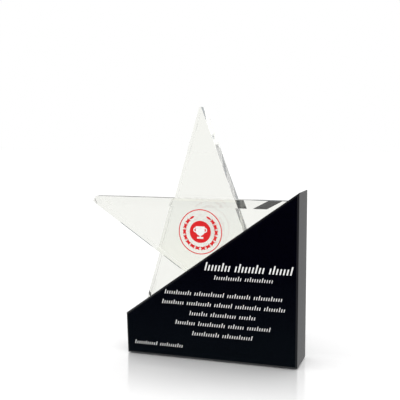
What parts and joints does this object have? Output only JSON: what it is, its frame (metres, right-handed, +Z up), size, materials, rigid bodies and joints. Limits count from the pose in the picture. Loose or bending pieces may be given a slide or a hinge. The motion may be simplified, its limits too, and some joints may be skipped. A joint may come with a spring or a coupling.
{
  "type": "crystal award",
  "caption": "Five-pointed star made of two crossed clear crystal plates, bonded to the sloping top of a polished black crystal block with a blasted inscription panel.",
  "frame": {"origin": "middle of the underside of the base pad, on the surface that the award stands on", "axes": "+X to the right seen from the front, +Y from the front to the back, +Z up"},
  "size_m": [0.1527, 0.032, 0.1772],
  "materials": {
    "clear_crystal": "polished optical crystal",
    "black_crystal": "polished black crystal",
    "clear_adhesive": "cured clear UV adhesive",
    "red_ink": "UV-cured print",
    "white_ink": "UV-cured print",
    "white_infill": "white paint in blasted strokes",
    "felt": "self-adhesive felt"
  },
  "bodies": {
    "root": {"base_pad": "felt", "black_block": "black_crystal", "front_star_plate": "clear_crystal", "rear_star_plate": "clear_crystal", "plate_bond": "clear_adhesive", "front_foot_bond": "clear_adhesive", "rear_foot_bond": "clear_adhesive", "emblem_ring": "red_ink", "emblem_wreath": "red_ink", "emblem_disc": "red_ink", "emblem_cup": "white_ink", "title_infill": "white_infill", "subtitle_infill": "white_infill", "message_infill_1": "white_infill", "message_infill_2": "white_infill", "message_infill_3": "white_infill", "message_infill_4": "white_infill", "message_infill_5": "white_infill", "footer_infill": "white_infill"}
  },
  "joints": []
}
